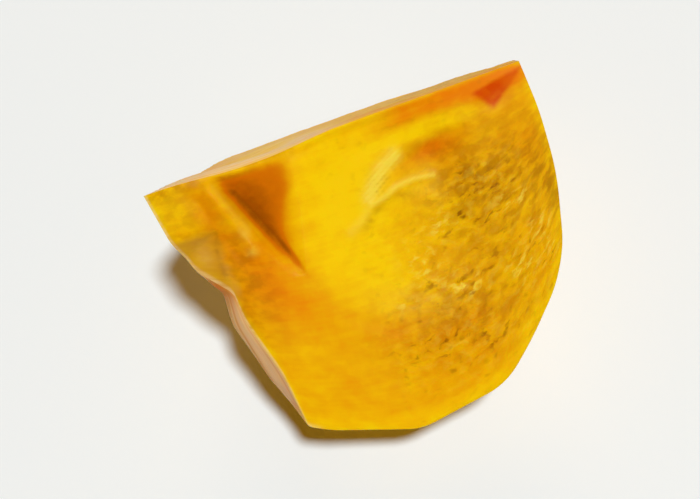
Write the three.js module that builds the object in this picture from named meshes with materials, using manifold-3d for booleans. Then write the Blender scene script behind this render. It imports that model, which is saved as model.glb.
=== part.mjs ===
// A peeled quarter of a persimmon, cut lengthwise, resting on its rounded peeled side with the
// core ridge on top. Millimetres, +Z up. X runs along the core axis (+X is the blossom end,
// -X the calyx end), -Y is the side of the first cut face. The whole quarter is one solid.
import * as THREE from "three";
import { mergeVertices } from "three/addons/utils/BufferGeometryUtils.js";
import Module from "manifold-3d";

// Driving dimensions of the fruit
const AXIS_LENGTH = 52; // blossom end to calyx end, along the core
const EQUATOR_RADIUS = 41.8; // core axis to the peeled surface at the widest place
const HALF_WEDGE = Math.PI / 4; // the two cut faces stand at right angles

// Pose on the surface: the quarter leans back a little, onto the facet it rests on
const LEAN = THREE.MathUtils.degToRad(8.9);
const AXIS_AT = new THREE.Vector3(25.72, 4.64, 41.0); // blossom end of the core axis

// Outline of the fruit as (distance along the core, radius) in fractions of the two driving
// dimensions, from the blossom end round to the calyx end. The rim row is the edge of the first
// cut face, and the body row is the peeled surface behind it. The knife left a corner at each row.
const L = AXIS_LENGTH / 52;
const R = EQUATOR_RADIUS / 41.8;
const OUTLINE = [
  // rim (a, r), body (a, r), length of the rounding at that corner
  { rim: [0, 0], body: [0, 0], round: 0 }, // blossom end, on the axis
  { rim: [-0.5, 7], body: [-0.6, 7], round: 2.5 },
  { rim: [-0.1, 15.5], body: [-0.3, 15.5], round: 3.5 },
  { rim: [2.2, 25], body: [2.0, 25.2], round: 2.4 },
  { rim: [4.9, 29.9], body: [5.2, 30.2], round: 2.5 },
  { rim: [10.3, 35.5], body: [9.2, 36.0], round: 3 },
  { rim: [15.6, 40.1], body: [14.8, 40.5], round: 3 },
  { rim: [28.3, 41.9], body: [25.6, 42.0], round: 2 },
  { rim: [39.8, 37.7], body: [37.6, 39.3], round: 1.4 },
  { rim: [42.3, 36.3], body: [42.8, 35.9], round: 0.5 }, // shoulder
  { rim: [43.0, 28.5], body: [45.3, 28.5], round: 2 },
  { rim: [45.2, 20.5], body: [47.3, 20.5], round: 1.2 },
  { rim: [45.5, 16.0], body: [46.9, 16.3], round: 0.8 }, // ring groove of the calyx scar
  { rim: [49.2, 11.9], body: [49.4, 11.9], round: 1 },
  { rim: [50.9, 7.0], body: [51.0, 7.0], round: 1 },
  { rim: [52, 0], body: [52, 0], round: 0 }, // calyx end, on the axis
];
const BEVEL_DEPTH = 3.5; // depth behind the first face where the rim row has become the body row
const REAR_CUT = 2.6 * L; // how much shorter the calyx end is at the second face
const REAR_CUT_RADIUS = 20 * R; // the radius from which that holds in full
const FIRST_PEELED = 3; // outline corners from here to the shoulder carry the knife flats
const SHOULDER = 9;

// Knife flats round the peeled side
const FLATS = 6;
const FLAT_SAG = 0.0086; // of the radius, the sag of one flat's chord
const FLAT_WANDER = [0, 0, 0, 3, -2, 2.5, -3, -1.4, 2, 3.5]; // degrees each row of flats is turned by

// Mesh steps of the solid
const STEPS_ALONG = 58;
const STEPS_FACE_ONE = 32;
const STEPS_ROUND = 24;
const STEPS_FACE_TWO = 22;

const { degToRad, clamp, lerp, smoothstep } = THREE.MathUtils;
const gauss = (x) => Math.exp(-x * x);

// The crease where the calyx was cut out: it leaves the ridge at CREASE_FOOT and leans from there
const CREASE_FOOT = 42.3 * L;
const CREASE_LEAN = 0.406;

// Distance from a centre in units of a turned ellipse
function ellipse(a, r, [ca, cr], [ha, hr], turn) {
  const c = Math.cos(turn);
  const s = Math.sin(turn);
  const along = (a - ca) * c + (r - cr) * s;
  const across = (r - cr) * c - (a - ca) * s;
  return Math.hypot(along / ha, across / hr);
}

// The hollow left where the calyx was cut out: its floor falls from the floor edge to a steep wall
function calyxHollow(a, r) {
  const wall = CREASE_FOOT - CREASE_LEAN * r;
  const floorEdge = 32.6 + 0.011 * r * r;
  const deepest = 2.6 * smoothstep(r, -1, 4) * (1 - smoothstep(r, 5, 19));
  const lip = 2.3;
  if (a < floorEdge || wall < floorEdge) return 0;
  if (a < wall) return -deepest * Math.pow((a - floorEdge) / (wall - floorEdge), 1.25);
  return -deepest * (1 - smoothstep(a, wall, wall + lip));
}

// The raised lip beside that hollow, with the small nodule at its foot
function calyxLip(a, r) {
  const crest = 44.7 - 0.32 * r;
  const along = smoothstep(r, 0.5, 3) * (1 - smoothstep(r, 10, 14));
  const nodule = 0.5 * gauss(ellipse(a, r, [40.7, 11.3], [1.1, 1.4], 0));
  const groove = -0.3 * gauss((a - crest - 2.2) / 0.9) * along;
  return 0.4 * gauss((a - crest) / 0.9) * along + nodule + groove;
}

// The broad shallow dish in the middle of the first face
function dish(a, r) {
  const d = ellipse(a, r, [22, 13], [14.5, 17], 0);
  return -0.9 * (1 - smoothstep(d, 0.5, 1.06)) * smoothstep(a, 4, 16);
}

// A seed chamber that the cut opened: steep on the side of the core, fading away from it
function seedChamber(a, r, centre, [along, near, far], turn, depth) {
  const side = r - centre[1] - (a - centre[0]) * Math.tan(turn);
  const d = ellipse(a, r, centre, [along, side < 0 ? near : far], turn);
  return -depth * (1 - smoothstep(d, 0.1, 1));
}

// Height of each cut face over its plane, outwards
function faceOneRelief(a, r) {
  const chamber = seedChamber(a, r, [15.6, 6.9], [7.5, 1.9, 8.0], 0.16, 0.6);
  const tip = seedChamber(a, r, [4.6, 2.9], [3.6, 1.6, 2.0], 0.35, 0.25);
  const wave = 0.12 * Math.sin(a * 0.31 + 1) * Math.sin(r * 0.27 + 0.4);
  return calyxHollow(a, r) + calyxLip(a, r) + dish(a, r) + chamber + tip + wave;
}

function faceTwoRelief(a, r) {
  const chamber = seedChamber(a, r, [19, 9], [9, 1.9, 3.5], 0.12, 1.5);
  const hollow = seedChamber(a, r, [38, 11], [9, 7.5, 7.5], 0.3, 1.1);
  const wave = 0.16 * Math.sin(a * 0.27 + 2.2) * Math.sin(r * 0.24);
  return chamber + hollow + wave;
}

// How far the knife took the ridge down between the middle and the calyx end
const ridgeDrop = (a) => 0.8 * smoothstep(a, 25, 36) * (1 - smoothstep(a, 38, 50));
const RIDGE_FADE = 1.6; // distance over which that drop fades into the faces

// One corner of the outline at the angle q round the axis, from +HALF_WEDGE at the first face
function corner(k, q) {
  const { rim, body } = OUTLINE[k];
  const depth = Math.max(rim[1], body[1]) * R * Math.sin(HALF_WEDGE - q);
  const w = clamp(depth / BEVEL_DEPTH, 0, 1);
  let a = lerp(rim[0], body[0], w) * L;
  let r = lerp(rim[1], body[1], w) * R;
  if (k >= SHOULDER) a -= REAR_CUT * smoothstep(-q, 0, HALF_WEDGE) * Math.min(r / REAR_CUT_RADIUS, 1);
  if (k >= FIRST_PEELED && k <= SHOULDER) {
    const turned = q + degToRad(FLAT_WANDER[k]) * Math.cos(2 * q);
    const flat = ((turned + HALF_WEDGE) / (2 * HALF_WEDGE)) * FLATS;
    const x = flat - Math.floor(flat);
    r *= 1 - FLAT_SAG * 4 * x * (1 - x);
  }
  return new THREE.Vector2(a, r);
}

// A point of the outline at the angle q: straight runs between corners, each corner rounded
function outlinePoint(u, q) {
  const last = OUTLINE.length - 1;
  const k = Math.min(Math.floor(u), last - 1);
  const from = corner(k, q);
  const to = corner(k + 1, q);
  const run = from.distanceTo(to);
  const here = from.clone().lerp(to, u - k);
  for (const [j, side] of [[k, 1], [k + 1, -1]]) {
    const at = side > 0 ? from : to;
    const reach = Math.min(OUTLINE[j].round, run / 2);
    const gone = here.distanceTo(at) * side;
    if (reach <= 0 || Math.abs(gone) >= reach) continue;
    const before = corner(j - 1, q).sub(at).setLength(reach).add(at);
    const after = corner(j + 1, q).sub(at).setLength(reach).add(at);
    const t = (gone + reach) / (2 * reach);
    return new THREE.Vector2()
      .addScaledVector(before, (1 - t) ** 2)
      .addScaledVector(at, 2 * t * (1 - t))
      .addScaledVector(after, t ** 2);
  }
  return here;
}

// Outline parameters at even steps of length along the rim of the first face
function evenSteps(count) {
  const fine = 40 * (OUTLINE.length - 1);
  const lengths = [0];
  let before = outlinePoint(0, HALF_WEDGE);
  for (let i = 1; i <= fine; i++) {
    const next = outlinePoint((i / fine) * (OUTLINE.length - 1), HALF_WEDGE);
    lengths.push(lengths[i - 1] + next.distanceTo(before));
    before = next;
  }
  const steps = [];
  for (let n = 0, i = 0; n <= count; n++) {
    const wanted = (lengths[fine] * n) / count;
    while (i < fine - 1 && lengths[i + 1] < wanted) i++;
    const part = (wanted - lengths[i]) / (lengths[i + 1] - lengths[i]);
    steps.push(((i + part) / fine) * (OUTLINE.length - 1));
  }
  return steps;
}

// Part coordinates of a point given along the core (a), along the first face (u) and the second (v)
const DOWN_ONE = HALF_WEDGE - LEAN; // slope of the first face below level
const alongOne = new THREE.Vector3(0, -Math.cos(DOWN_ONE), -Math.sin(DOWN_ONE));
const alongTwo = new THREE.Vector3(0, Math.sin(DOWN_ONE), -Math.cos(DOWN_ONE));
function place(a, u, v) {
  return AXIS_AT.clone()
    .add(new THREE.Vector3(-a, 0, 0))
    .addScaledVector(alongOne, u)
    .addScaledVector(alongTwo, v);
}

// Where grid lines leave the ridge: one runs down the crease of the calyx hollow, and those beyond
// it fan out to the calyx end
const RIDGE_KNOTS = [
  { step: 0, a: 0 },
  { step: 28, a: CREASE_FOOT },
  { step: 46, a: CREASE_FOOT + 0.7 * L },
  { step: 51, a: CREASE_FOOT + 2.5 * L },
  { step: STEPS_ALONG, a: AXIS_LENGTH },
];
function ridgeStep(i) {
  const k = RIDGE_KNOTS.findIndex((knot) => knot.step >= i);
  if (k === 0) return 0;
  const from = RIDGE_KNOTS[k - 1];
  const to = RIDGE_KNOTS[k];
  return lerp(from.a, to.a, (i - from.step) / (to.step - from.step));
}

// The closed loop round the quarter on one grid line: ridge, first face, peeled side, second face
function section(u, ridgeA) {
  const drop = ridgeDrop(ridgeA);
  const loop = [place(ridgeA, drop, drop)];
  const face = (rim, relief, s) => {
    const a = lerp(ridgeA, rim.x, s);
    const r = lerp(drop, rim.y, s);
    const fade = drop * Math.exp(-(r - drop) / RIDGE_FADE);
    const edge = smoothstep(r - drop, 0, 1.2);
    return { a, r, into: fade - relief(a, r) * edge };
  };
  const rimOne = outlinePoint(u, HALF_WEDGE);
  for (let i = 1; i <= STEPS_FACE_ONE; i++) {
    const p = face(rimOne, faceOneRelief, i / STEPS_FACE_ONE);
    loop.push(place(p.a, p.r, p.into));
  }
  for (let i = 1; i < STEPS_ROUND; i++) {
    const q = HALF_WEDGE * (1 - (2 * i) / STEPS_ROUND);
    const p = outlinePoint(u, q);
    loop.push(place(p.x, p.y * Math.cos(HALF_WEDGE - q), p.y * Math.sin(HALF_WEDGE - q)));
  }
  const rimTwo = outlinePoint(u, -HALF_WEDGE);
  for (let i = STEPS_FACE_TWO; i >= 1; i--) {
    const p = face(rimTwo, faceTwoRelief, i / STEPS_FACE_TWO);
    loop.push(place(p.a, p.into, p.r));
  }
  return loop;
}

// Joins the loops, from the blossom end's point to the calyx end's, into one closed mesh
function quarterGeometry() {
  const steps = evenSteps(STEPS_ALONG);
  const points = [place(0, 0, 0)];
  for (let i = 1; i < STEPS_ALONG; i++) points.push(...section(steps[i], ridgeStep(i)));
  points.push(place(AXIS_LENGTH, 0, 0));
  const round = STEPS_FACE_ONE + STEPS_ROUND + STEPS_FACE_TWO;
  const loops = STEPS_ALONG - 1;
  const id = (i, j) => 1 + i * round + (j % round);
  const index = [];
  for (let j = 0; j < round; j++) {
    index.push(0, id(0, j), id(0, j + 1));
    for (let i = 0; i < loops - 1; i++) {
      index.push(id(i, j), id(i + 1, j), id(i + 1, j + 1));
      index.push(id(i, j), id(i + 1, j + 1), id(i, j + 1));
    }
    index.push(points.length - 1, id(loops - 1, j + 1), id(loops - 1, j));
  }
  return new THREE.BufferGeometry().setFromPoints(points).setIndex(index);
}

// Solids for the cuts: what lies below the surface that the quarter rests on, and the corner facet
const wasm = await Module();
wasm.setup();

function solidOf(geometry) {
  const bare = geometry.clone();
  bare.deleteAttribute("normal");
  bare.deleteAttribute("uv");
  const merged = mergeVertices(bare, 1e-4);
  return new wasm.Manifold(
    new wasm.Mesh({
      numProp: 3,
      vertProperties: merged.attributes.position.array,
      triVerts: new Uint32Array(merged.index.array),
    }),
  );
}

function geometryOf(solid) {
  const { vertProperties, triVerts } = solid.getMesh();
  const geometry = new THREE.BufferGeometry();
  geometry.setAttribute("position", new THREE.BufferAttribute(vertProperties, 3));
  geometry.setIndex(new THREE.BufferAttribute(triVerts, 1));
  geometry.computeVertexNormals();
  return geometry;
}

// The flat facet that the knife left beside the calyx end. It starts at a corner on the first face,
// slopes into the flesh toward the calyx end and has a short steep wall on the side of the core.
const FACET_AT = { a: 44 * L, u: 7 * R };
const FACET_SLOPE = 0.55;
const FACET_WALL_SLOPE = 1.2;
const CUTTER_SIZE = 40;

// A block whose top is a plane through the facet's corner, deepening along a and u at these slopes
function cutter(slopeAlong, slopeAcross) {
  const normal = new THREE.Vector3(slopeAlong, 0, 0)
    .addScaledVector(alongOne, -slopeAcross)
    .add(alongTwo)
    .normalize();
  const turn = new THREE.Quaternion().setFromUnitVectors(new THREE.Vector3(0, 0, 1), normal);
  const centre = place(FACET_AT.a, FACET_AT.u, 0).addScaledVector(normal, -CUTTER_SIZE / 2);
  return new THREE.BoxGeometry(CUTTER_SIZE, CUTTER_SIZE, CUTTER_SIZE)
    .applyQuaternion(turn)
    .translate(...centre.toArray());
}

const UNDERSIDE = 20; // thickness of the block that is cut away below
const below = new THREE.BoxGeometry(200, 200, UNDERSIDE).translate(0, 0, -UNDERSIDE / 2);
const facet = solidOf(cutter(FACET_SLOPE, 0)).intersect(solidOf(cutter(0, FACET_WALL_SLOPE)));
const rested = solidOf(quarterGeometry()).subtract(solidOf(below)).subtract(facet);

const flesh = new THREE.MeshStandardMaterial({ color: 0xf0ae12, roughness: 0.38, metalness: 0 });
const quarter = new THREE.Mesh(geometryOf(rested), flesh);
quarter.name = "persimmon_quarter";

const persimmon = new THREE.Group();
persimmon.add(quarter);

export default persimmon;
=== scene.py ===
import math

import bpy
import numpy as np
from mathutils import Matrix, Vector, noise


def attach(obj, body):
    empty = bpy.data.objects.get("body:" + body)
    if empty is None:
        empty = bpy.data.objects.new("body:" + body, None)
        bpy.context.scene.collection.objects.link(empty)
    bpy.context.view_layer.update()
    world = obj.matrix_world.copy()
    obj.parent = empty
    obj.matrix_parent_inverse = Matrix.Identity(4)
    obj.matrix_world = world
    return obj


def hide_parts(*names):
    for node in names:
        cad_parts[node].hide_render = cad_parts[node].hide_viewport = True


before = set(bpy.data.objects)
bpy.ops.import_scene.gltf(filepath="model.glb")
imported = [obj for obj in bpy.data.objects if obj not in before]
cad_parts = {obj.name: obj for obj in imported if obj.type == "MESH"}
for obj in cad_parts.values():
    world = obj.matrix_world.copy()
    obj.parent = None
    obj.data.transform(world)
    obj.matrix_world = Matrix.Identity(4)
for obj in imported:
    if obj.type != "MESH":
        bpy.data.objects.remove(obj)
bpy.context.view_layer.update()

MM = 0.001  # the frame is in metres, the shape below in millimetres

# A peeled quarter of a persimmon, cut lengthwise. Lengths "a" run along the core from the blossom
# end, "r" is the distance from the core, "u" lies in the first cut face and "v" in the second,
# both square to the core. "q" is the angle round the core, HALF_WEDGE at the first face.
AXIS_LENGTH = 52.0
EQUATOR_RADIUS = 41.8
HALF_WEDGE = math.pi / 4
LEAN = math.radians(8.9)  # how far it leans back from lying evenly on its round side
AXIS_AT = np.array([25.72, 4.64, 41.0])  # the blossom end of the core

# Corners of the outline from the blossom end round to the calyx end: (a, radius) at the rim of
# the first cut face, the same behind it, and the length of the rounding there
OUTLINE = (
    ((0, 0), (0, 0), 0),
    ((-0.5, 7), (-0.6, 7), 2.5),
    ((-0.1, 15.5), (-0.3, 15.5), 3.5),
    ((2.2, 25), (2.0, 25.2), 2.4),
    ((4.9, 29.9), (5.2, 30.2), 2.5),
    ((10.3, 35.5), (9.2, 36.0), 3),
    ((15.6, 40.1), (14.8, 40.5), 3),
    ((28.3, 41.9), (25.6, 42.0), 2),
    ((39.8, 37.7), (37.6, 39.3), 1.4),
    ((42.3, 36.3), (42.8, 35.9), 0.5),
    ((43.0, 28.5), (45.3, 28.5), 2),
    ((45.2, 20.5), (47.3, 20.5), 1.2),
    ((45.5, 16.0), (46.9, 16.3), 0.8),
    ((49.2, 11.9), (49.4, 11.9), 1),
    ((50.9, 7.0), (51.0, 7.0), 1),
    ((52, 0), (52, 0), 0),
)
BEVEL_DEPTH = 3.5  # how deep behind the first face the corners of its rim give way to those behind
REAR_CUT = 2.6  # how much shorter the calyx end is at the second face
REAR_CUT_RADIUS = 20  # the radius from which that holds in full
FIRST_PEELED = 3  # the first and the last row of OUTLINE that the knife's flats reach
SHOULDER = 9
FLATS = 6  # flats round the quarter
FLAT_SAG = 0.0086  # how far the middle of a flat lies inside the round, as a share of the radius
# How far round the core the flats are turned at each row of OUTLINE
FLAT_WANDER = np.radians([0, 0, 0, 3, -2, 2.5, -3, -1.4, 2, 3.5] + [0] * (len(OUTLINE) - SHOULDER - 1))
# The crease of the calyx hollow: where it meets the ridge, and how fast it runs to the blossom end
CREASE_FOOT = 42.3
CREASE_LEAN = 0.406
HOLLOW_START = 32.6  # where the floor of that hollow starts to fall, at the ridge
HOLLOW_DEPTH = 2.6
SCAR_ROW = 12.3  # place of the scar ring of the calyx end, counted in rows of OUTLINE

# Seed chambers and a hollow: (a, r) of the centre, half length and half widths toward the core and
# away from it, turn and depth
CHAMBER_ONE = ((15.6, 6.9), (7.5, 1.9, 8.0), 0.16, 0.6)
TIP_CHAMBER = ((4.6, 2.9), (3.6, 1.6, 2.6), 0.35, 0.2)
CHAMBER_TWO = ((19, 9), (9, 1.9, 3.5), 0.12, 1.5)
HOLLOW_TWO = ((38, 11), (9, 7.5, 7.5), 0.3, 1.1)

# Layers of the noise, far enough apart that no two uses repeat each other
LUMPS_LAYER = 9
WOBBLE_LAYER = 20
FIBRES_TWO_LAYER = 30
GRANULES_TWO_LAYER = 40
PEEL_LAYER = 70
GRAIN_TWO_LAYER = 100
PEEL_GRAIN_LAYER = 200

NOISE_OCTAVES = 3

# Mesh steps of the fine surface
STEPS_ALONG = 288
STEPS_FACE_ONE = 150
STEPS_ROUND = 84
STEPS_FACE_TWO = 100
EDGE_CROWDING = 0.55  # how strongly the steps crowd toward the long edges, from 0 to 1
EDGE_SOFTENING = 5  # rounds of averaging that take the knife-sharp look off the three long edges


def smoothstep(x, low, high):
    t = np.clip((x - low) / (high - low), 0, 1)
    return t * t * (3 - 2 * t)


def gauss(x):
    return np.exp(-x * x)


def lerp(x, y, t):
    return x + (y - x) * t


def ellipse(a, r, centre, half, turn):
    """Distance from a centre in units of a turned ellipse."""
    c, s = math.cos(turn), math.sin(turn)
    along = (a - centre[0]) * c + (r - centre[1]) * s
    across = (r - centre[1]) * c - (a - centre[0]) * s
    return np.hypot(along / half[0], across / half[1])


def calyx_hollow(a, r):
    """The hollow where the calyx was cut out: a floor that falls to the foot of a steep wall."""
    wall = CREASE_FOOT - CREASE_LEAN * r
    floor_edge = HOLLOW_START + 0.011 * r * r
    deepest = HOLLOW_DEPTH * smoothstep(r, -1, 4) * (1 - smoothstep(r, 5, 19))
    width = np.maximum(wall - floor_edge, 1e-6)
    floor = np.clip((a - floor_edge) / width, 0, 1) ** 1.25
    depth = np.where(a < wall, floor, 1 - smoothstep(a, wall, wall + 2.3))
    return np.where((a < floor_edge) | (wall < floor_edge), 0, -deepest * depth)


def calyx_lip(a, r):
    """The raised lip beside that hollow, the nodule at its foot and the groove past it."""
    crest = 44.7 - 0.32 * r
    along = smoothstep(r, 0.5, 3) * (1 - smoothstep(r, 10, 14))
    nodule = 0.4 * gauss(ellipse(a, r, (40.9, 11.3), (1.3, 1.5), 0))
    groove = -0.3 * gauss((a - crest - 2.2) / 0.9) * along
    return 0.4 * gauss((a - crest) / 0.9) * along + nodule + groove


def dish(a, r):
    """The broad shallow dish in the middle of the first face."""
    d = ellipse(a, r, (22, 13), (14.5, 17), 0)
    return -0.9 * (1 - smoothstep(d, 0.5, 1.06)) * smoothstep(a, 4, 16)


def seed_chamber(a, r, centre, half, turn, depth):
    """A seed chamber that the cut opened: steep on the side of the core, fading away from it."""
    side = r - centre[1] - (a - centre[0]) * math.tan(turn)
    near = ellipse(a, r, centre, (half[0], half[1]), turn)
    far = ellipse(a, r, centre, (half[0], half[2]), turn)
    return -depth * (1 - smoothstep(np.where(side < 0, near, far), 0.1, 1))


def face_one_relief(a, r):
    """Height of the first face over its plane."""
    chamber = seed_chamber(a, r, *CHAMBER_ONE)
    tip = seed_chamber(a, r, *TIP_CHAMBER)
    wave = 0.12 * np.sin(a * 0.31 + 1) * np.sin(r * 0.27 + 0.4)
    return calyx_hollow(a, r) + calyx_lip(a, r) + dish(a, r) + chamber + tip + wave


def face_two_relief(a, r):
    """Height of the second face over its plane."""
    chamber = seed_chamber(a, r, *CHAMBER_TWO)
    hollow = seed_chamber(a, r, *HOLLOW_TWO)
    wave = 0.16 * np.sin(a * 0.27 + 2.2) * np.sin(r * 0.24)
    return chamber + hollow + wave


def ridge_drop(a):
    """How far down each face the ridge was cut off, between the middle and the calyx end."""
    return 0.8 * smoothstep(a, 25, 36) * (1 - smoothstep(a, 38, 50))


def outline_corners(q):
    """The corners of the outline at the angle q round the core, HALF_WEDGE at the first face."""
    rim = np.array([row[0] for row in OUTLINE], float)
    body = np.array([row[1] for row in OUTLINE], float)
    depth = np.maximum(rim[:, 1], body[:, 1]) * math.sin(HALF_WEDGE - q)
    corners = lerp(rim, body, np.clip(depth / BEVEL_DEPTH, 0, 1)[:, None])
    rear = smoothstep(-q, 0, HALF_WEDGE) * np.minimum(corners[:, 1] / REAR_CUT_RADIUS, 1)
    corners[SHOULDER:, 0] -= REAR_CUT * rear[SHOULDER:]
    flat = (q + FLAT_WANDER * math.cos(2 * q) + HALF_WEDGE) / (2 * HALF_WEDGE) * FLATS
    x = flat - np.floor(flat)
    peeled = (np.arange(len(OUTLINE)) >= FIRST_PEELED) & (np.arange(len(OUTLINE)) <= SHOULDER)
    corners[:, 1] *= np.where(peeled, 1 - FLAT_SAG * 4 * x * (1 - x), 1)
    return corners


def outline(along, q):
    """Points of the outline at the angle q: straight runs, with each corner rounded.

    "along" counts the rows of OUTLINE, from 0 at the blossom end.
    """
    corners = outline_corners(q)
    k = np.minimum(along.astype(int), len(corners) - 2)
    here = lerp(corners[k], corners[k + 1], (along - k)[:, None])
    result = here.copy()
    for j in range(1, len(corners) - 1):
        at = corners[j]
        back, ahead = corners[j - 1] - at, corners[j + 1] - at
        runs = np.linalg.norm(back), np.linalg.norm(ahead)
        reach = min(OUTLINE[j][2], runs[0] / 2, runs[1] / 2)
        gone = np.linalg.norm(here - at, axis=1)
        near = ((k == j) | (k == j - 1)) & (gone < reach)
        t = ((np.where(k == j, gone, -gone) + reach) / (2 * reach))[near, None]
        before = at + back * reach / runs[0]
        after = at + ahead * reach / runs[1]
        result[near] = (1 - t) ** 2 * before + 2 * t * (1 - t) * at + t**2 * after
    return result


def even_steps(count):
    """Outline parameters at even steps of length along the rim of the first face."""
    fine = np.linspace(0, len(OUTLINE) - 1, 40 * (len(OUTLINE) - 1) + 1)
    run = np.linalg.norm(np.diff(outline(fine, HALF_WEDGE), axis=0), axis=1)
    length = np.concatenate([[0], np.cumsum(run)])
    return np.interp(np.linspace(0, length[-1], count + 1), length, fine)


def crowded(count):
    """Steps from 0 to 1 that stand closer together at both ends."""
    t = np.linspace(0, 1, count + 1)
    return lerp(t, (1 - np.cos(math.pi * t)) / 2, EDGE_CROWDING)


DOWN_ONE = HALF_WEDGE - LEAN
ALONG_ONE = np.array([0, -math.cos(DOWN_ONE), -math.sin(DOWN_ONE)])
ALONG_TWO = np.array([0, math.sin(DOWN_ONE), -math.cos(DOWN_ONE)])


def place(a, u, v):
    """Part coordinates of points given along the core and along each cut face."""
    return AXIS_AT + a[..., None] * np.array([-1, 0, 0]) + u[..., None] * ALONG_ONE + v[..., None] * ALONG_TWO


FACET_AT = (44.0, 7.0)  # (a, u) of the corner of the flat cut beside the calyx end
FACET_SLOPES = (0.55, 1.2)  # how fast that cut deepens along a, and its short wall along u
FACET_EDGE = 0.7  # width over which its edge is softened


def facet_floor(a, u):
    """Depth of the flat cut below the plane of the first face, under 0 outside it."""
    return np.minimum(FACET_SLOPES[0] * (a - FACET_AT[0]), FACET_SLOPES[1] * (u - FACET_AT[1]))


def facet_cut(a, u, v):
    """Depth below the first face once the flat cut is made, with a soft edge."""
    over = facet_floor(a, u) - v
    return v + (over + np.sqrt(over * over + FACET_EDGE**2)) / 2


def noise_at(a, across, layer=0):
    """Coordinates for the noise and the grain, in a layer of their own."""
    return np.stack([a, across, 0 * a + layer], -1)


def roughen(points, scale):
    """Fractal noise of about -1 to 1 at each point, with lumps of the given size."""
    flat = points.reshape(-1, 3) / scale
    basis = "PERLIN_ORIGINAL"
    values = [noise.fractal(Vector(p), 1.0, 2.0, NOISE_OCTAVES, noise_basis=basis) for p in flat]
    return np.array(values).reshape(points.shape[:-1])


RIDGE_FADE = 1.6  # distance from the ridge over which its drop fades into the faces
RIDGE_KNOTS = ((0, 0), (0.793, 43.0), (0.88, 44.8), (1, AXIS_LENGTH))  # (share of the rim, a)


def blob(a, r, centre, half, turn=0.0):
    """A soft round spot, 1 at its centre."""
    return gauss(ellipse(a, r, centre, half, turn))


def stroke(a, r, path, width):
    """A soft line through the points of a path, 1 along its middle."""
    nearest = np.full(np.shape(a), np.inf)
    for start, end in zip(path[:-1], path[1:]):
        run = np.subtract(end, start)
        t = np.clip(((a - start[0]) * run[0] + (r - start[1]) * run[1]) / (run @ run), 0, 1)
        nearest = np.minimum(nearest, np.hypot(a - start[0] - t * run[0], r - start[1] - t * run[1]))
    return gauss(nearest / width)


def meridian(a, r):
    """Distance from the core, as the flesh fibres run: they spread from one end and meet at the other."""
    return r / np.sqrt(1 - ((a - 27) / 34) ** 2)


# Lines on the first face, as (a, r): two threads over the seed chamber and the tail of the second,
# the fold that carries the crease on, a line across the facet, the crease of the calyx hollow and
# the crest of its lip
THREAD_ONE = ((24.4, 10.3), (23.3, 8.8), (21.7, 7.3), (19.5, 6.1))
THREAD_TWO = ((24.6, 11.3), (22.4, 10.8), (20.5, 10.1), (18, 9.9), (15.4, 10.3))
THREAD_TAIL = ((24.6, 11.3), (26.3, 12.8), (28.2, 13.8))
FOLD = ((35.4, 17), (34, 21), (31.5, 25), (27, 28))
FACET_LINE = ((44.9, 7.6), (46.0, 12.0), (45.5, 14.5))
CREASE = ((41.9, 1.6), (39.3, 7.0), (37.4, 11.6), (35.5, 17.3))
LIP = ((43.4, 1.8), (42.1, 5.5), (40.8, 8.6))
HATCH_SPACING = 0.7
HATCH_SLANT = 0.55

# Granular and crinkled spots of the first face: (a, r) of the centre and half widths; the crinkled spots also
# carry painted highlights
GRANULES = (
    ((9, 12.5), (5.5, 3.2)),
    ((12, 17), (5, 4)),
    ((17, 24.5), (5, 3)),
    ((6, 25), (4, 4)),
    ((19, 32), (9, 4.5)),
)
CRINKLES = (
    ((20.6, 21.0), (2.2, 2.8)),
    ((16.3, 25.6), (2.4, 1.6)),
    ((8.4, 26), (2, 2)),
    ((24.4, 25.2), (1.3, 0.8)),
    ((4, 22), (1.6, 2.4)),
    ((16.8, 17), (1.6, 1.4)),
    ((6.5, 16.8), (2.2, 1.0)),
)

# Where the first face is more orange, or more yellow where the strength is under 0, and where it
# is darker: strength, (a, r) of the centre, half widths and turn
WARM_SPOTS = (
    (-0.45, (26.5, 7), (8.5, 9), 0),
    (-0.32, (24.5, 21), (4.5, 5), 0),
    (-0.4, (13, 4.1), (8, 1.0), 0),
    (-0.25, (30.5, 17), (4, 7), 0),
    (-0.25, (50, 2), (3.5, 3), 0),
    (0.3, (4.5, 2.6), (4.5, 2.5), 0.4),
    (0.3, (13.6, 7.0), (4.5, 1.7), 0.05),
    (0.2, (13, 10), (3, 3), 0),
    (0.35, (16.5, 7.3), (4.5, 1.0), 0.28),
    (0.42, (41.5, 15), (4.2, 6), 0),
    (0.25, (38.5, 20), (3, 5), 0.4),
    (0.2, (20, 31), (9, 5), 0),
    (0.35, (44.8, 6), (1.8, 5), 0.3),
    (0.2, (3, 10), (3, 5), 0),
)
DARK_SPOTS = (
    (0.34, (9, 15), (8.5, 8), 0),
    (0.3, (17, 29), (10, 6), 0),
    (0.05, (4, 8), (4, 6), 0),
    (0.28, (1, 17), (2.6, 8), 0),
    (0.2, (11, 12), (4, 2.5), 0),
    (0.3, (43, 15), (3, 8), 0),
    (0.16, (49, 4), (5, 7), 0),
    (0.12, (14, 7.0), (4.5, 1.6), 0),
    (0.22, (25, 12.9), (2.2, 0.7), 0.6),
    (0.16, (19.5, 11.4), (3, 0.8), 0),
)


def hatching(a, r):
    """Fine parallel ridges across the broad thread, from -1 to 1."""
    return np.sin(2 * math.pi * (r - HATCH_SLANT * a) / HATCH_SPACING)


def spots(a, r, table):
    """The sum of the soft spots of a table, each times its strength."""
    return sum(strength * blob(a, r, *spot) for strength, *spot in table)


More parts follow.
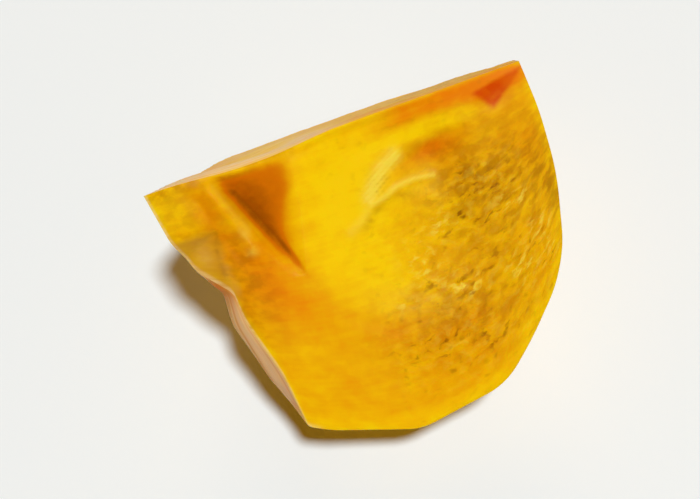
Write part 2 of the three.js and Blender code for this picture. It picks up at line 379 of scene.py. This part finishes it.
def face_one_grain(a, r):
    """Fine relief of the first face: granules, crinkled spots, threads and the fold."""
    m = meridian(a, r)
    fibres = roughen(noise_at(a * 0.16, m), 0.8)
    lumps = roughen(noise_at(a * 0.6, m, LUMPS_LAYER), 0.9)
    rough = 0.1 + sum(blob(a, r, *spot) for spot in GRANULES)
    rough += 1.2 * sum(blob(a, r, *spot) for spot in CRINKLES)
    rough += 1.2 * calyx_hollow(a, r) / -HOLLOW_DEPTH
    threads = 0.14 * stroke(a, r, THREAD_ONE, 0.7) * (0.6 + 0.4 * hatching(a, r))
    threads += 0.14 * stroke(a, r, THREAD_TWO, 0.4)
    threads += 0.06 * stroke(a, r, THREAD_TAIL, 0.5)
    return (0.03 * fibres + 0.07 * lumps) * rough + threads - 0.06 * stroke(a, r, FOLD, 1.0)


def face_two_grain(a, r):
    """Fine relief of the second face: fibres and granules."""
    m = meridian(a, r)
    fibres = roughen(noise_at(a * 0.12, m, FIBRES_TWO_LAYER), 0.7)
    granules = roughen(noise_at(a * 0.6, m, GRANULES_TWO_LAYER), 0.8)
    return 0.06 * fibres + 0.06 * granules


def core_spot(a, r):
    """The red end of the core, a triangle with its long point at the blossom end."""
    top = smoothstep(r - 0.5 - 0.17 * a, -0.2, 0.5)
    low = smoothstep(1.4 + 0.76 * (a - 0.3) - r, -0.2, 0.8)
    inner = smoothstep(0.818 * (7.4 - a) - 0.576 * (r - 2.0), -0.3, 0.8)
    return top * low * inner * (0.7 + 0.3 * smoothstep(a, 0.5, 5))


def face_one_marks(a, r, inside):
    """How strongly each mark shows on the first face, "inside" the rim by so much: the flesh's own marks,
    painted shade in the calyx hollow and painted highlights.
    """
    # Painted shade of the calyx hollow, deepening toward its crease, and a dark line of painted shade along
    # the crease itself
    wall = CREASE_FOOT - CREASE_LEAN * r
    hollow_edge = lerp(HOLLOW_START, 35.2, smoothstep(r, 4, 11))
    toward_crease = smoothstep(a, hollow_edge + 1, wall - 0.2) * smoothstep(r, 0, 5.5)
    hollow = smoothstep(a, hollow_edge - 0.6, hollow_edge + 2.4) * (1 - smoothstep(a, wall + 0.2, wall + 1.5))
    hollow *= smoothstep(r, 0.7, 2.6) * (1 - smoothstep(r, 10, 17))
    crease = stroke(a, r, CREASE, lerp(0.8, 0.45, smoothstep(r, 4, 17))) * (1 - 0.9 * smoothstep(r, 12, 17.6))
    crease *= smoothstep(r, 1.0, 4.0)
    crinkled = sum(blob(a, r, *spot) for spot in CRINKLES)

    warmth = 0.42 + spots(a, r, WARM_SPOTS) - 0.2 * (1 - smoothstep(inside, 0.8, 3))
    beside_ridge = smoothstep(r, -0.4, 0.8) * (1 - smoothstep(r, 1.8, 3.4))
    warmth += 0.5 * beside_ridge * (1 - smoothstep(a, 16, 22)) + 0.15 * stroke(a, r, FOLD, 1.4)

    shade = spots(a, r, DARK_SPOTS) + 0.3 * stroke(a, r, FACET_LINE, 0.4)
    shade += 0.2 * gauss((r - 0.4) / 1.1) * smoothstep(a, 24, 36)
    shade += 0.6 * np.maximum(-hatching(a, r), 0) * blob(a, r, (22.8, 9.2), (1.3, 1.3))

    # Painted highlights on the crinkled spots and the lip's nodules; the threads below are pale, partly a
    # painted highlight along the seed chamber's edges
    nodules = blob(a, r, (41.4, 9.1), (0.6, 0.9), 0.3) + blob(a, r, (41.2, 11.6), (0.8, 0.6))
    light = 1.3 * crinkled + 0.6 * nodules
    wobble = 0.5 * roughen(noise_at(a, r, WOBBLE_LAYER), 2.2)
    facet = smoothstep(facet_floor(a, r) + wobble, 0.0, 1.0)
    lobes = blob(a, r, (47.4, 10), (1.2, 2.0)) + blob(a, r, (44.9, 13.5), (0.8, 2.6))
    threads = (1.7 + 0.5 * hatching(a, r)) * stroke(a, r, THREAD_ONE, 0.9)
    threads = np.maximum(threads, 1.2 * stroke(a, r, THREAD_TWO, 0.35))
    threads = np.maximum(threads, 0.45 * stroke(a, r, THREAD_TAIL, 0.6))
    specks = 0.15 + sum(blob(a, r, *spot) for spot in GRANULES)
    pale = 0.12 * facet * lobes + 0.5 * (1 - smoothstep(inside, 0.2, 0.9)) * smoothstep(a, 40, 43)
    return {
        "warmth": warmth,
        "shade": shade,
        "hollow_shade_and_scar": np.maximum(hollow * (0.4 + 0.45 * toward_crease), 0.95 * crease),
        "core": core_spot(a, r),
        "specks": np.minimum(specks, 1.25) * (1 - smoothstep(a, 27, 32)),
        # Painted highlights: on the crinkles and nodules, and along the threads and the lip's crest
        "light": light,
        "thread": threads + 0.25 * stroke(a, r, LIP, 0.4) + 0.5 * nodules,
        "olive": facet * (0.8 - 0.25 * lobes),
        "pale": pale,
        "streaks_and_edge_shade": 0.2 * facet * smoothstep(r, 10, 13),
    }


def face_two_marks(a, r, inside):
    """The same marks on the second face."""
    slit = seed_chamber(a, r, (19, 9), (8, 1.6, 3.0), 0.12, -1)
    warmth = 0.35 - 0.35 * blob(a, r, (34, 12), (9, 9)) + 0.35 * blob(a, r, (16, 5), (12, 3))
    warmth += 0.3 * blob(a, r, (44, 18), (5, 9)) - 0.25 * (1 - smoothstep(inside, 0.8, 2.8))
    # The cream of this face is partly a painted sheen
    pale = 0.9 * smoothstep(a, 21, 30) * (1 - 0.75 * smoothstep(r, 5, 19)) + 0.05 * smoothstep(r, 4, 9)
    return {
        "warmth": warmth,
        # Painted shade: a dark line along the rim of this face, and the seed slit darkened as shade
        "shade": 0.35 * blob(a, r, (8, 19), (8, 11)) + 0.2 * slit + 0.6 * (1 - smoothstep(inside, 0.2, 0.8)),
        "hollow_shade_and_scar": 0.75 * slit,
        "core": 0.8 * core_spot(a, r),
        "specks": 0.9 * blob(a, r, (9, 20), (9, 11)) + 0.5 * blob(a, r, (24, 30), (10, 6)),
        "light": 0.3 * smoothstep(r, 5, 12) + 0.4 * blob(a, r, (14, 24), (5, 4)),
        "thread": 0.3 * smoothstep(r, 5, 12),
        "olive": 0 * a,
        "pale": pale * smoothstep(inside, 0.2, 0.9),
        # Brown streaks, and along the rim a painted shade line
        "streaks_and_edge_shade": 0.1 * smoothstep(r, 1, 5) + 0.9 * (1 - smoothstep(inside, 0.2, 0.8)),
    }


def peeled_marks(along, q):
    """Marks of the peeled outside and of the two ends, "along" and "q" being grids."""
    end = smoothstep(along, SHOULDER + 0.2, SHOULDER + 0.6)
    scar = gauss((along - SCAR_ROW) / 0.6)
    blossom = 1 - smoothstep(along, 1.0, 2.4)
    near_first = smoothstep(q, HALF_WEDGE * 0.45, HALF_WEDGE)
    none = 0 * q
    return {
        "warmth": 0.5 + 0.3 * blossom + 0.35 * scar + end * (0.05 + 0.45 * near_first) + none,
        # The scar ring is darker, partly as painted shade
        "shade": 0.3 * scar + 0.15 * end * near_first,
        "hollow_shade_and_scar": 0.3 * scar,
        "core": none,
        "specks": 0.12 + 1.1 * end * near_first + none,
        "light": none,
        "thread": 0.3 * end * (1 - 0.5 * near_first),
        "olive": none,
        # The cream of the calyx strip is partly a painted reflection
        "pale": end * (0.12 + 0.48 * near_first) * (1 - 0.6 * scar),
        "streaks_and_edge_shade": end * (0.12 + 0.2 * near_first),
    }


def build_surface():
    """The whole surface as a grid of points, its marks and its grain coordinates."""
    along = even_steps(STEPS_ALONG)[1:-1]
    share = np.arange(1, STEPS_ALONG) / STEPS_ALONG
    ridge_a = np.interp(share, *np.array(RIDGE_KNOTS).T)
    drop = ridge_drop(ridge_a)

    def cut_face(q, steps, relief, grain):
        rim = outline(along, q)
        s = crowded(steps)[1:]
        a = lerp(ridge_a[:, None], rim[:, :1], s)
        r = lerp(drop[:, None], rim[:, 1:], s)
        below = r - drop[:, None]
        raised = (relief(a, r) + grain(a, r)) * smoothstep(below, 0, 1.2)
        inside = np.hypot(rim[:, :1] - a, rim[:, 1:] - r)
        return a, r, drop[:, None] * np.exp(-below / RIDGE_FADE) - raised, inside

    a1, r1, into1, inside1 = cut_face(HALF_WEDGE, STEPS_FACE_ONE, face_one_relief, face_one_grain)
    a2, r2, into2, inside2 = cut_face(-HALF_WEDGE, STEPS_FACE_TWO, face_two_relief, face_two_grain)
    qs = HALF_WEDGE * (1 - 2 * crowded(STEPS_ROUND)[1:-1])
    rounds = np.stack([outline(along, q) for q in qs], 1)
    qs = np.broadcast_to(qs, rounds.shape[:2])
    alongs = np.broadcast_to(along[:, None], rounds.shape[:2])
    a3, r3 = rounds[..., 0], rounds[..., 1]
    arc = qs * EQUATOR_RADIUS
    scar = gauss((alongs - SCAR_ROW) / 0.7)
    bumps = (0.05 + 0.25 * scar) * roughen(noise_at(a3, arc, PEEL_LAYER), 1.6)
    r3 = r3 + bumps * smoothstep(HALF_WEDGE - np.abs(qs), 0, 0.05)
    ridge = place(ridge_a, drop, drop)[:, None]
    u3, v3 = r3 * np.cos(HALF_WEDGE - qs), r3 * np.sin(HALF_WEDGE - qs)
    one = place(a1, r1, facet_cut(a1, r1, into1))
    side = place(a3, u3, facet_cut(a3, u3, v3))
    two = place(a2, into2, r2)[:, ::-1]
    points = np.concatenate([ridge, one, side, two], 1)

    marks_one = face_one_marks(a1, r1, inside1)
    marks_side = peeled_marks(alongs, qs)
    marks_two = face_two_marks(a2, r2, inside2)
    marks = {}
    for name in marks_one:
        parts = [marks_one[name][:, :1], marks_one[name], marks_side[name], marks_two[name][:, ::-1]]
        marks[name] = np.concatenate(parts, 1)
    grain_one = noise_at(a1, meridian(a1, r1))
    grain_side = noise_at(a3, arc, PEEL_GRAIN_LAYER)
    grain_two = noise_at(a2, meridian(a2, r2), GRAIN_TWO_LAYER)[:, ::-1]
    grain = np.concatenate([grain_one[:, :1], grain_one, grain_side, grain_two], 1)
    return points, marks, grain


def soften_edges(points):
    """Takes the sharpness off the ridge and the two rims by averaging across them."""
    for _ in range(EDGE_SOFTENING):
        between = (np.roll(points, 1, 1) + np.roll(points, -1, 1)) / 2
        for at in (0, STEPS_FACE_ONE, STEPS_FACE_ONE + STEPS_ROUND):
            for step in (-2, -1, 0, 1, 2):
                j = (at + step) % points.shape[1]
                points[:, j] = lerp(points[:, j], between[:, j], 0.5)
    return points


def build_mesh(points, marks, grain):
    """One closed mesh, with a point at each end of the core."""
    loops, rounds = points.shape[:2]
    ends = np.stack([place(np.array(0.0), np.array(0.0), np.array(0.0)),
                     place(np.array(AXIS_LENGTH), np.array(0.0), np.array(0.0))])
    places = np.concatenate([points.reshape(-1, 3), ends])
    places[:, 2] = np.maximum(places[:, 2], 0)
    index = np.arange(loops * rounds).reshape(loops, rounds)
    along = np.roll(index, -1, 1)
    quads = np.stack([index[:-1], index[1:], along[1:], along[:-1]], -1).reshape(-1, 4)
    blossom, calyx = loops * rounds, loops * rounds + 1
    fans = [(blossom, index[0, j], along[0, j]) for j in range(rounds)]
    fans += [(calyx, along[-1, j], index[-1, j]) for j in range(rounds)]
    mesh = bpy.data.meshes.new("persimmon_flesh")
    faces = quads.tolist() + [tuple(int(i) for i in fan) for fan in fans]
    mesh.from_pydata((places * MM).tolist(), [], faces)
    for name, values in marks.items():
        flat = np.concatenate([values.ravel(), [values[0, 0], values[-1, 0]]])
        mesh.attributes.new(name, "FLOAT", "POINT").data.foreach_set("value", flat.astype(np.float32))
    flat = np.concatenate([grain.reshape(-1, 3), grain[:1, 0], grain[-1:, 0]])
    vectors = mesh.attributes.new("grain", "FLOAT_VECTOR", "POINT")
    vectors.data.foreach_set("vector", flat.astype(np.float32).ravel())
    mesh.shade_smooth()
    mesh.validate()
    return mesh


def add_node(tree, kind, inputs=None, **settings):
    """Adds a node, sets its options and links or sets its inputs."""
    made = tree.nodes.new(kind)
    for name, value in settings.items():
        setattr(made, name, value)
    for key, value in (inputs or {}).items():
        if isinstance(value, bpy.types.NodeSocket):
            tree.links.new(value, made.inputs[key])
        else:
            made.inputs[key].default_value = value
    return made


def srgb(red, green, blue):
    """A colour as the eye names it, 0 to 255, in Blender's linear values."""
    values = [c / 255 for c in (red, green, blue)]
    return tuple(c / 12.92 if c <= 0.04045 else ((c + 0.055) / 1.055) ** 2.4 for c in values) + (1.0,)


BRIGHT_YELLOW = srgb(255, 215, 0)
YELLOW_ORANGE = srgb(243, 178, 0)
ORANGE = srgb(242, 135, 0)
# Painted shade of the calyx hollow: orange where its floor starts to fall, brown at its crease
HOLLOW_SHADE_ORANGE = srgb(222, 122, 0)
CREASE_SHADE_BROWN = srgb(160, 82, 0)
CORE_RED = srgb(220, 78, 0)
SHADED_OCHRE = srgb(158, 100, 0)
SPECK_BROWN = srgb(138, 78, 0)
CUT_OLIVE = srgb(208, 148, 24)
# Pale yellow of the crinkles and threads, partly a painted highlight on them
PALE_YELLOW_AND_HIGHLIGHT = srgb(252, 224, 72)
# Cream, partly a painted sheen on the second face and a painted reflection on the calyx strip
CREAM_AND_SHEEN = srgb(255, 230, 180)
# Brown of the streaks, also the painted shade line along the rim of the second face
STREAK_AND_EDGE_SHADE_BROWN = srgb(196, 120, 40)
SHEEN_YELLOW = srgb(255, 222, 120)
FLESH_VALUE = 0.9  # all of the flesh's colours are scaled by this
GRAIN_SWAY = (1.4, 1.6, 0.0)  # how far the wavy grain strays along and across the fibres


def flesh_material():
    """Moist flesh, coloured by the marks and drawn out along the grain."""
    material = bpy.data.materials.new("persimmon_flesh")
    material.use_nodes = True
    tree = material.node_tree
    shader = tree.nodes["Principled BSDF"]

    def mark(name):
        return add_node(tree, "ShaderNodeAttribute", attribute_name=name).outputs["Fac"]

    def math_node(operation, *values, clamp=False):
        settings = {"operation": operation, "use_clamp": clamp}
        return add_node(tree, "ShaderNodeMath", dict(enumerate(values)), **settings).outputs[0]

    def vector_math(operation, inputs):
        return add_node(tree, "ShaderNodeVectorMath", inputs, operation=operation).outputs[0]

    def mix(factor, first, second):
        return add_node(tree, "ShaderNodeMix", {0: factor, 6: first, 7: second}, data_type="RGBA").outputs[2]

    def stretched(vector, stretch):
        return add_node(tree, "ShaderNodeMapping", {"Vector": vector, "Scale": stretch}).outputs[0]

    def speckle(vector, stretch, detail):
        inputs = {"Vector": stretched(vector, stretch), "Scale": 1.0, "Detail": detail}
        return add_node(tree, "ShaderNodeTexNoise", inputs).outputs["Fac"]

    def ramp(value, low, high):
        inputs = {"Value": value, "From Min": low, "From Max": high}
        return add_node(tree, "ShaderNodeMapRange", inputs, interpolation_type="SMOOTHSTEP").outputs[0]

    # The grain runs straight along the fibres, and wavy where the flesh is granular
    grain = add_node(tree, "ShaderNodeAttribute", attribute_name="grain").outputs["Vector"]
    sway = add_node(tree, "ShaderNodeTexNoise", {"Vector": grain, "Scale": 0.45, "Detail": 2.0})
    centred = vector_math("SUBTRACT", {0: sway.outputs["Color"], 1: (0.5, 0.5, 0.5)})
    wavy = vector_math("MULTIPLY_ADD", {0: centred, 1: GRAIN_SWAY, 2: grain})

    mottle = speckle(grain, (0.16, 0.2, 0.2), 4.0)
    patches = speckle(wavy, (0.5, 0.55, 0.5), 4.0)
    fibres = speckle(grain, (0.08, 1.3, 1.0), 4.0)
    crinkle = speckle(wavy, (0.6, 0.95, 1.0), 3.0)
    fine = speckle(wavy, (1.5, 2.0, 1.0), 2.0)

    # Hue from bright yellow to orange, in soft patches
    drift = math_node("MULTIPLY_ADD", math_node("SUBTRACT", mottle, 0.5), 0.5, mark("warmth"))
    drift = math_node("MULTIPLY_ADD", math_node("SUBTRACT", patches, 0.5), 0.55, drift)
    drift = math_node("MULTIPLY_ADD", math_node("SUBTRACT", fibres, 0.5), 0.32, drift)
    hue = add_node(tree, "ShaderNodeValToRGB", {"Fac": drift})
    stops = hue.color_ramp.elements
    stops[0].color = BRIGHT_YELLOW
    stops[1].color = ORANGE
    middle = stops.new(0.5)
    middle.color = YELLOW_ORANGE
    colour = hue.outputs["Color"]

    # Darker ground, brown strokes along the fibres and round brown dots
    granular = mark("specks")
    blotches = math_node("MULTIPLY_ADD", ramp(patches, 0.36, 0.64), 1.2, 0.4)
    dull = math_node("MULTIPLY", mark("shade"), blotches, clamp=True)
    colour = mix(dull, colour, SHADED_OCHRE)
    clusters = ramp(speckle(grain, (0.28, 0.3, 0.3), 2.0), 0.4, 0.6)
    strokes = math_node("MULTIPLY", ramp(math_node("SUBTRACT", 1.0, crinkle), 0.54, 0.7), clusters)
    cell_inputs = {"Vector": stretched(wavy, (0.5, 0.62, 0.5)), "Scale": 1.0}
    cells = add_node(tree, "ShaderNodeTexVoronoi", cell_inputs)
    cell_colour = add_node(tree, "ShaderNodeSeparateColor", {0: cells.outputs["Color"]})
    chosen = ramp(cell_colour.outputs[0], 0.4, 0.7)
    centres = math_node("SUBTRACT", 1.0, ramp(cells.outputs["Distance"], 0.06, 0.3))
    dots = math_node("MULTIPLY", centres, chosen)
    browned = math_node("MULTIPLY", math_node("MAXIMUM", strokes, dots), granular)
    colour = mix(math_node("MULTIPLY", browned, 0.72, clamp=True), colour, SPECK_BROWN)

    # Pale yellow crinkles and threads, partly painted highlights, and cream fibres, partly a painted sheen
    lit = math_node("MULTIPLY_ADD", granular, 0.25, mark("light"))
    bright = math_node("MULTIPLY", ramp(crinkle, 0.5, 0.66), lit)
    threads = math_node("MULTIPLY", mark("thread"), math_node("MULTIPLY_ADD", fibres, 0.9, 0.25))
    bright = math_node("MULTIPLY_ADD", bright, 0.6, threads, clamp=True)
    colour = mix(bright, colour, PALE_YELLOW_AND_HIGHLIGHT)
    colour = mix(math_node("MULTIPLY", mark("olive"), 0.75), colour, CUT_OLIVE)
    pale = math_node("MULTIPLY", mark("pale"), math_node("MULTIPLY_ADD", fibres, 2.2, -0.35), clamp=True)
    colour = mix(pale, colour, CREAM_AND_SHEEN)
    # Brown streaks between the fibres, and a painted shade line along the rim of the second face
    gaps = ramp(math_node("SUBTRACT", 1.0, fibres), 0.46, 0.62)
    streaks_and_edge_shade = math_node("MULTIPLY", gaps, mark("streaks_and_edge_shade"), clamp=True)
    colour = mix(streaks_and_edge_shade, colour, STREAK_AND_EDGE_SHADE_BROWN)

    # The hollow of the calyx, painted shade in orange and then brown toward its crease, and the red core
    uneven = math_node("MULTIPLY", mark("hollow_shade_and_scar"), 0.6)
    hollow_shade_and_scar = math_node("MULTIPLY_ADD", math_node("SUBTRACT", patches, 0.5), uneven, mark("hollow_shade_and_scar"))
    colour = mix(ramp(hollow_shade_and_scar, 0.0, 0.45), colour, HOLLOW_SHADE_ORANGE)
    colour = mix(ramp(hollow_shade_and_scar, 0.4, 1.0), colour, CREASE_SHADE_BROWN)
    core = math_node("MULTIPLY", mark("core"), math_node("ADD", patches, 0.5), clamp=True)
    colour = mix(core, colour, CORE_RED)
    colour = vector_math("SCALE", {0: colour, 3: FLESH_VALUE})
    tree.links.new(colour, shader.inputs["Base Color"])

    # Moist gloss, uneven along the fibres and duller down in the hollow
    gloss = add_node(tree, "ShaderNodeMapRange", {"Value": crinkle, "To Min": 0.44, "To Max": 0.6})
    roughness = math_node("MULTIPLY_ADD", mark("hollow_shade_and_scar"), 0.4, gloss.outputs[0])
    coat = math_node("MULTIPLY_ADD", mark("hollow_shade_and_scar"), -0.1, 0.03, clamp=True)
    tree.links.new(roughness, shader.inputs["Roughness"])
    tree.links.new(coat, shader.inputs["Coat Weight"])
    shader.inputs["IOR"].default_value = 1.4
    shader.inputs["Specular IOR Level"].default_value = 0.18
    shader.inputs["Specular Tint"].default_value = SHEEN_YELLOW
    shader.inputs["Subsurface Weight"].default_value = 0.4
    shader.inputs["Subsurface Radius"].default_value = (1.0, 0.4, 0.06)
    shader.inputs["Subsurface Scale"].default_value = 3.5 * MM
    shader.inputs["Coat Roughness"].default_value = 0.3
    shader.inputs["Coat IOR"].default_value = 1.36

    # Low relief under the size of the mesh's own steps
    coarse = math_node("MULTIPLY_ADD", crinkle, 1.4, fine)
    height = math_node("MULTIPLY", coarse, math_node("ADD", granular, 0.12))
    height = math_node("MULTIPLY_ADD", bright, 0.8, height)
    height = math_node("MULTIPLY_ADD", fibres, 0.15, height)
    bump = add_node(tree, "ShaderNodeBump", {"Height": height, "Strength": 0.45, "Distance": 0.12 * MM})
    tree.links.new(bump.outputs[0], shader.inputs["Normal"])
    return material


def build_quarter():
    """The quarter as one piece, in place of its solid."""
    points, marks, grain = build_surface()
    mesh = build_mesh(soften_edges(points), marks, grain)
    piece = bpy.data.objects.new("persimmon_flesh", mesh)
    bpy.context.scene.collection.objects.link(piece)
    mesh.materials.append(flesh_material())
    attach(piece, "root")
    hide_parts("persimmon_quarter")
    return piece


FLOOR_COLOUR = (0.82, 0.915, 0.94, 1)
DAYLIGHT = (0.96, 0.985, 1.03)
WARM_FILL = (1.0, 0.66, 0.32)
WARM_ROOM = (1.0, 0.42, 0.06, 1)
KEY_TOWARD = (0.08, -0.2, 0.6)
BACK_TOWARD = (0.25, 0.8, 0.3)


def build_floor():
    """A plain pale floor, which is stage and no part of the object."""
    bpy.ops.mesh.primitive_plane_add(size=4, location=(0, 0, 0))
    floor = bpy.context.object
    floor.name = "floor"
    material = bpy.data.materials.new("pale_floor")
    material.use_nodes = True
    shader = material.node_tree.nodes["Principled BSDF"]
    shader.inputs["Base Color"].default_value = FLOOR_COLOUR
    shader.inputs["Roughness"].default_value = 0.55
    floor.data.materials.append(material)


def add_sun(name, toward, softness, strength, colour):
    """A distant light that stands in the given direction, its disc so many degrees wide."""
    data = bpy.data.lights.new(name, "SUN")
    data.angle = math.radians(softness)
    data.energy = strength
    data.color = colour
    light = bpy.data.objects.new(name, data)
    bpy.context.scene.collection.objects.link(light)
    light.rotation_euler = Vector(toward).to_track_quat("Z", "Y").to_euler()


def light_scene():
    """A key light from above and a little in front, a soft warm one from behind, and warm light all round."""
    world = bpy.data.worlds.new("studio")
    bpy.context.scene.world = world
    world.use_nodes = True
    background = world.node_tree.nodes["Background"]
    background.inputs["Color"].default_value = WARM_ROOM
    background.inputs["Strength"].default_value = 0.15
    add_sun("key_light", KEY_TOWARD, 6, 2.85, DAYLIGHT)
    add_sun("back_light", BACK_TOWARD, 30, 0.8, WARM_FILL)
    bpy.context.scene.view_settings.view_transform = "Standard"


# Where the photograph was taken from, as worked out from it: 0.2 m from the quarter
CAMERA_AT = Vector((-0.0103, -0.0986, 0.1923))
PHOTO_RIGHT = Vector((0.91956, -0.39294, 0.0))
PHOTO_UP = Vector((0.33389, 0.78137, 0.52724))
PHOTO_FORWARD = Vector((0.20717, 0.48483, -0.84972))
QUARTER_IN_PHOTO = (-0.161, -0.064)  # right and up of the photograph's centre, over the focal length
LENS_MM = 72.2
SENSOR_MM = 36.0


def place_camera():
    """A camera at the place worked out for the photograph's, turned and zoomed to this quarter."""
    aim = PHOTO_FORWARD + QUARTER_IN_PHOTO[0] * PHOTO_RIGHT + QUARTER_IN_PHOTO[1] * PHOTO_UP
    turn = PHOTO_FORWARD.rotation_difference(aim)
    axes = [turn @ PHOTO_RIGHT, turn @ PHOTO_UP, turn @ -PHOTO_FORWARD]
    data = bpy.data.cameras.new("camera")
    data.lens = LENS_MM
    data.sensor_width = SENSOR_MM
    data.clip_start = 0.01
    camera = bpy.data.objects.new("camera", data)
    bpy.context.scene.collection.objects.link(camera)
    camera.matrix_world = Matrix.Translation(CAMERA_AT) @ Matrix(axes).transposed().to_4x4()
    bpy.context.scene.camera = camera


place_camera()
build_quarter()
build_floor()
light_scene()
